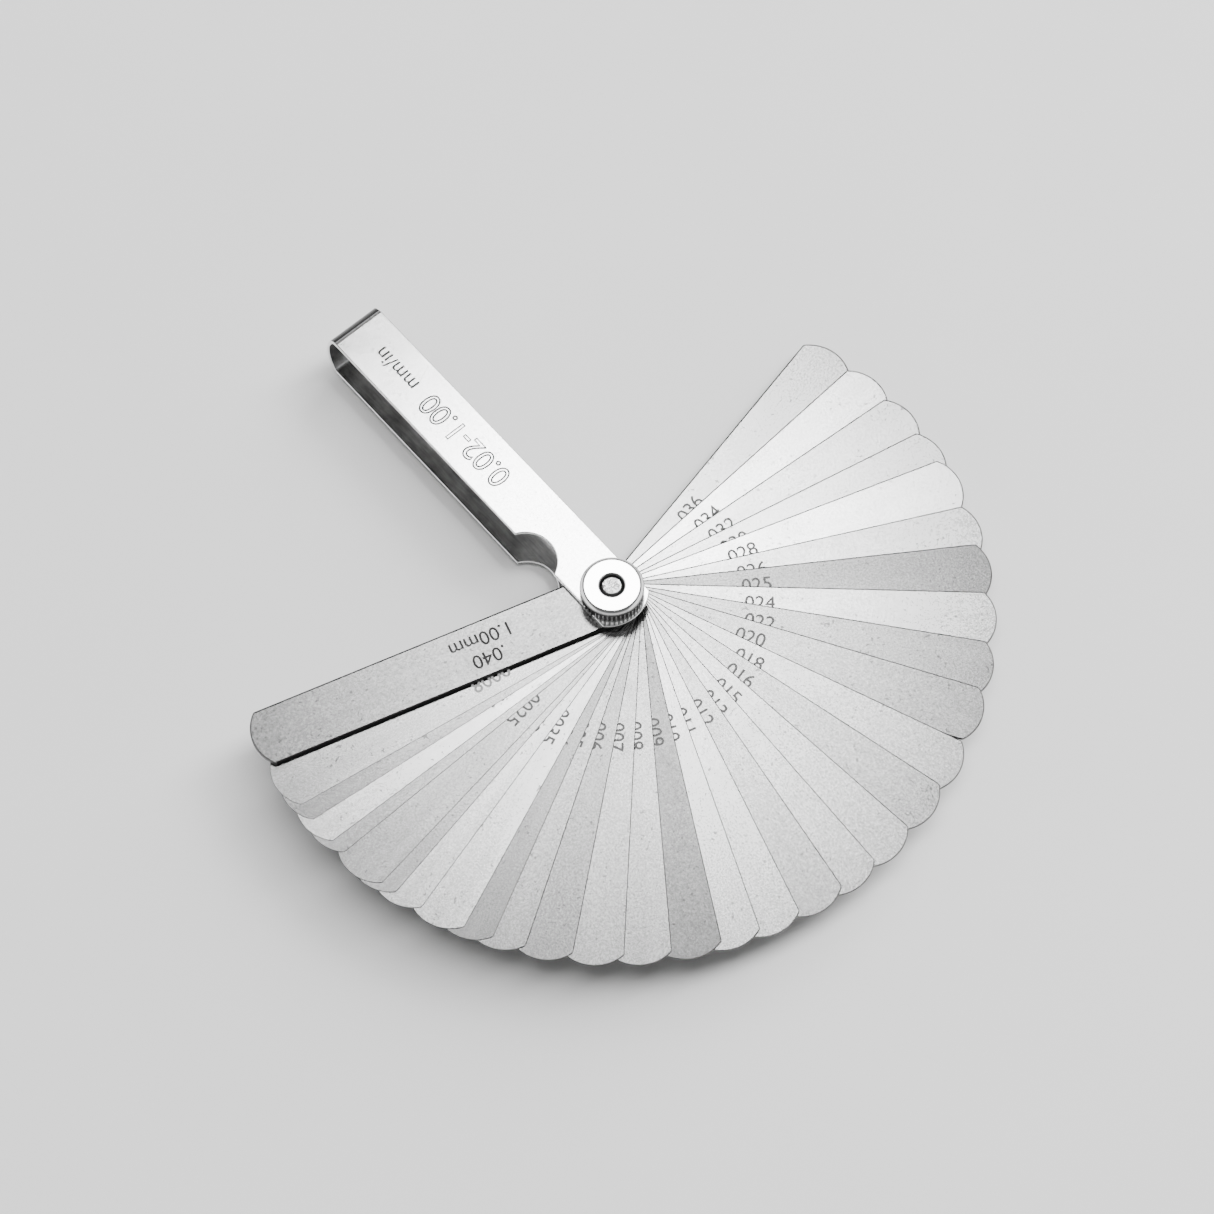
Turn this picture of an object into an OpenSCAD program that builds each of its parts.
// Feeler gauge: thirty-two flat steel blades on one pivot, fanned out of a folded steel handle.
//
// Frame: +Z runs up the pivot and the origin is on the pivot axis, at the underside of the post's
// head, which is the face the gauge stands on. +X runs along the handle. A blade that is folded
// away points along +X, and its fan angle is counted from there, anticlockwise seen from above.

/* [Blades] */
// Width of every blade, half an inch
blade_w = 12.7; // [11:0.1:13]
// Length of every blade from its round pivot end to its tip, three and a half inches
blade_l = 88.9; // [70:0.1:92]
// Radius of the shallow arc across the tip
tip_r = 9; // [7:0.1:14]
// Radius of the small round where the tip meets each edge
tip_corner_r = 0.6; // [0.2:0.1:2]
// Oil film between neighbouring blades
blade_gap = 0.05; // [0.04:0.01:0.1]
// How far the fan is opened, in percent of the pose that is stored
fan_open = 100; // [0:5:100]

/* [Handle] */
// Width of the folded strip
handle_w = 13; // [12:0.1:16]
// Thickness of the strip
strip_t = 0.8; // [0.5:0.1:1.2]
// Distance from the pivot axis to the strip's free ends
handle_tail = 7.4; // [6.5:0.1:10]
// Distance from the pivot axis to the outermost point of the bend
handle_reach = 89.85; // [88.5:0.05:110]
// Inside radius of the fold at the top of the bend
top_fold_r = 2.2; // [0.5:0.1:3]
// Inside radius of the fold at the bottom of the bend
bottom_fold_r = 0.8; // [0.5:0.1:3]
// Inside radius of the bowed wall between the two folds
bow_r = 13.2; // [11:0.1:40]
// Height of the bowed wall's outermost point above the underside of the post's head
bow_z = 8.4; // [7:0.1:11]

/* [Finger notch] */
// Radius of the round notch in the edge of both strips
notch_r = 7; // [5:0.1:9]
// Distance of the notch's centre from the pivot axis, along the handle
notch_x = 18; // [16:0.5:30]
// Depth of the notch from the edge of the strip
notch_depth = 4.3; // [3:0.1:6]

/* [Pivot post] */
// Diameter of the threaded post (M5)
post_d = 5; // [4:0.1:6]
// Diameter of the flat head under the handle
head_d = 11; // [9:0.1:12.5]
// Thickness of the flat head
head_h = 1.6; // [1:0.1:3]
// Chamfer round the top end of the post
post_chamfer = 0.55; // [0.2:0.05:0.8]
// How far the post's end stays below the nut's top face
post_recess = 0.15; // [0:0.05:0.6]

/* [Lock nut] */
// Diameter over the plain collar
nut_d = 13.8; // [11:0.1:16]
// Height of the nut
nut_h = 4.2; // [3:0.1:6]
// Radius of the rounded upper shoulder
nut_shoulder_r = 1; // [0.4:0.1:1.6]
// Height of the plain collar between the knurl and the shoulder
nut_collar_h = 0.15; // [0.05:0.05:0.6]
// Number of teeth in the straight knurl
knurl_teeth = 44; // [36:1:90]
// Depth of the knurl
knurl_depth = 0.3; // [0.1:0.02:0.4]
// Countersink round the mouth of the nut's bore, measured along the radius
nut_mouth = 0.25; // [0.1:0.05:0.6]

/* [Hidden] */
// Every blade from the top of the stack down: node name, thickness in mm, fan angle in degrees.
// The thicknesses are the standard set of 0.02 to 1.00 mm, with the thick blade on top as a guard.
BLADES = [
    ["blade_1_00mm", 1.00, 73.5],
    ["blade_0_02mm", 0.02, 81],
    ["blade_0_03mm", 0.03, 84],
    ["blade_0_04mm", 0.04, 88.5],
    ["blade_0_05mm", 0.05, 91],
    ["blade_0_06mm", 0.06, 98.5],
    ["blade_0_07mm", 0.07, 101],
    ["blade_0_08mm", 0.08, 105.5],
    ["blade_0_09mm", 0.09, 112.5],
    ["blade_0_10mm", 0.10, 117],
    ["blade_0_13mm", 0.13, 122],
    ["blade_0_15mm", 0.15, 129],
    ["blade_0_18mm", 0.18, 136.5],
    ["blade_0_20mm", 0.20, 143.5],
    ["blade_0_23mm", 0.23, 151],
    ["blade_0_25mm", 0.25, 157],
    ["blade_0_28mm", 0.28, 163.5],
    ["blade_0_30mm", 0.30, 171],
    ["blade_0_33mm", 0.33, 177.5],
    ["blade_0_38mm", 0.38, 185],
    ["blade_0_40mm", 0.40, 193.5],
    ["blade_0_45mm", 0.45, 201.5],
    ["blade_0_50mm", 0.50, 211],
    ["blade_0_55mm", 0.55, 219],
    ["blade_0_60mm", 0.60, 227.5],
    ["blade_0_63mm", 0.63, 236],
    ["blade_0_65mm", 0.65, 243],
    ["blade_0_70mm", 0.70, 252],
    ["blade_0_75mm", 0.75, 258],
    ["blade_0_80mm", 0.80, 266],
    ["blade_0_85mm", 0.85, 274],
    ["blade_0_90mm", 0.90, 282.5],
];
NAME = 0;
THICKNESS = 1;
FAN_ANGLE = 2;
LAST_BLADE = len(BLADES) - 1;

$fn = 96;

// Running clearance of the post in the blades, the upper strip and the nut, along the radius
running_gap = 0.05;
// Clearance of the post where it is staked into the lower strip, along the radius
staked_gap = 0.01;
// Clearance between the nut's underside and the handle
nut_seat_gap = 0.05;
// Chamfer round both faces of the post's head
head_chamfer = 0.3;
// How far the knurl's crests stay inside the collar, along the radius
knurl_inset = 0.05;
// Steps along each arc of the bend
fold_steps = 16;
// Overshoot of a cutting solid past the faces that it cuts
cut = 1;

post_r = post_d / 2;
nut_r = nut_d / 2;

// Height of the blades that lie under blade i, with the gap over each of them
function stack_under(i) =
    i == LAST_BLADE ? 0 : BLADES[i + 1][THICKNESS] + blade_gap + stack_under(i + 1);

// Heights up the pivot
lower_strip_z = head_h;
stack_z = lower_strip_z + strip_t + blade_gap;
upper_strip_z = stack_z + stack_under(0) + BLADES[0][THICKNESS] + blade_gap;
nut_z = upper_strip_z + strip_t + nut_seat_gap;
nut_top_z = nut_z + nut_h;
post_top_z = nut_top_z - post_recess;

// Outline with a shallow arc across its end at x = reach and small rounds at the two corners.
// It starts square at x = 0. The rounds touch the arc and the edges without a step.
module round_ended_strip(reach, width, end_r, corner_r) {
    arc_x = reach - end_r;
    corner_y = width / 2 - corner_r;
    corner_x = arc_x + sqrt(pow(end_r - corner_r, 2) - pow(corner_y, 2));
    ray = 2 * end_r / (end_r - corner_r);
    far = [arc_x + (corner_x - arc_x) * ray, corner_y * ray];
    translate([0, -width / 2])
        square([corner_x, width]);
    for (side = [-1, 1])
        translate([corner_x, side * corner_y])
            circle(r = corner_r);
    intersection() {
        translate([arc_x, 0])
            circle(r = end_r);
        polygon([[arc_x, 0], [far[0], -far[1]], [far[0], far[1]]]);
    }
}

// One blade: round at the pivot, parallel edges, shallow arc at the tip, one hole for the post
module blade(i) {
    color([0.78, 0.78, 0.78])
        rotate(BLADES[i][FAN_ANGLE] * fan_open / 100)
            translate([0, 0, stack_z + stack_under(i)])
                linear_extrude(BLADES[i][THICKNESS])
                    difference() {
                        union() {
                            circle(d = blade_w);
                            round_ended_strip(blade_l - blade_w / 2, blade_w, tip_r, tip_corner_r);
                        }
                        circle(r = post_r + running_gap);
                    }
}

// Points along an arc, evenly spaced in angle
function arc(centre, r, from, to) = [
    for (step = [0 : fold_steps])
        let (turn = from + (to - from) * step / fold_steps)
            centre + r * [cos(turn), sin(turn)]
];

// The points of an arc without its two ends, which the neighbouring arcs already hold
function between_ends(points) = [for (i = [1 : len(points) - 2]) points[i]];

// Centre of a fold that touches a straight strip at height z and the inside of the bowed wall
function fold_centre(z, r, bow_centre) =
    [bow_centre[0] + sqrt(pow(bow_r - r, 2) - pow(z - bow_centre[1], 2)), z];

// Side view of the folded strip as [x, z]: two straight strips joined by a wall that bows outwards
// between a wide fold at the top and a tight one at the bottom, each touching its neighbours
module fold_side() {
    end_x = -handle_tail - cut;
    lower_inside_z = lower_strip_z + strip_t;
    bow_centre = [handle_reach - strip_t - bow_r, bow_z];
    top_centre = fold_centre(upper_strip_z - top_fold_r, top_fold_r, bow_centre);
    bottom_centre = fold_centre(lower_inside_z + bottom_fold_r, bottom_fold_r, bow_centre);
    to_top = top_centre - bow_centre;
    to_bottom = bottom_centre - bow_centre;
    top_turn = atan2(to_top[1], to_top[0]);
    bottom_turn = atan2(to_bottom[1], to_bottom[0]);
    polygon(concat(
        [[end_x, upper_strip_z + strip_t]],
        arc(top_centre, top_fold_r + strip_t, 90, top_turn),
        between_ends(arc(bow_centre, bow_r + strip_t, top_turn, bottom_turn)),
        arc(bottom_centre, bottom_fold_r + strip_t, bottom_turn, -90),
        [[end_x, lower_strip_z], [end_x, lower_inside_z]],
        arc(bottom_centre, bottom_fold_r, -90, bottom_turn),
        between_ends(arc(bow_centre, bow_r, bottom_turn, top_turn)),
        arc(top_centre, top_fold_r, top_turn, 90),
        [[end_x, upper_strip_z]]
    ));
}

// Folded strip: its side view carried across its width, cut to its outline seen from above
module handle() {
    above = nut_top_z + cut;
    color([0.82, 0.82, 0.82])
        difference() {
            intersection() {
                translate([0, handle_w / 2, 0])
                    rotate([90, 0, 0])
                        linear_extrude(handle_w)
                            fold_side();
                linear_extrude(above) {
                    mirror([1, 0])
                        round_ended_strip(handle_tail, handle_w, tip_r, tip_corner_r);
                    translate([-cut, -handle_w / 2])
                        square([handle_reach + 2 * cut, handle_w]);
                }
            }
            // holes for the post
            cylinder(r = post_r + staked_gap, h = stack_z);
            translate([0, 0, upper_strip_z - cut])
                cylinder(r = post_r + running_gap, h = strip_t + 2 * cut);
            // finger notch through both strips
            translate([notch_x, handle_w / 2 - notch_depth + notch_r, 0])
                cylinder(r = notch_r, h = above);
        }
}

// Post: flat head under the handle, plain shank, chamfered end
module pivot_post() {
    color([0.7, 0.7, 0.7])
        rotate_extrude()
            polygon([
                [0, 0],
                [head_d / 2 - head_chamfer, 0],
                [head_d / 2, head_chamfer],
                [head_d / 2, head_h - head_chamfer],
                [head_d / 2 - head_chamfer, head_h],
                [post_r, head_h],
                [post_r, post_top_z - post_chamfer],
                [post_r - post_chamfer, post_top_z],
                [0, post_top_z]
            ]);
}

// Nut: straight knurl round the side, plain rounded shoulder over it, countersunk bore
module lock_nut() {
    bore_r = post_r + running_gap;
    crest_r = nut_r - knurl_inset;
    root_r = crest_r - knurl_depth;
    round_x = nut_r - nut_shoulder_r;
    collar_z = nut_h - nut_shoulder_r - nut_collar_h;
    color([0.88, 0.88, 0.88])
        translate([0, 0, nut_z])
            difference() {
                union() {
                    linear_extrude(collar_z)
                        polygon([
                            for (half_tooth = [0 : 2 * knurl_teeth - 1])
                                let (r = half_tooth % 2 == 0 ? crest_r : root_r)
                                let (turn = half_tooth * 180 / knurl_teeth)
                                    [r * cos(turn), r * sin(turn)]
                        ]);
                    translate([0, 0, collar_z])
                        rotate_extrude() {
                            square([nut_r, nut_collar_h]);
                            square([round_x, nut_h - collar_z]);
                            translate([round_x, nut_collar_h])
                                intersection() {
                                    circle(r = nut_shoulder_r);
                                    square(nut_shoulder_r);
                                }
                        }
                }
                translate([0, 0, -cut])
                    cylinder(r = bore_r, h = nut_h + 2 * cut);
                translate([0, 0, nut_h - nut_mouth])
                    cylinder(r1 = bore_r, r2 = bore_r + nut_mouth + cut, h = nut_mouth + cut);
            }
}

handle();
pivot_post();
lock_nut();
for (i = [0 : LAST_BLADE])
    blade(i);
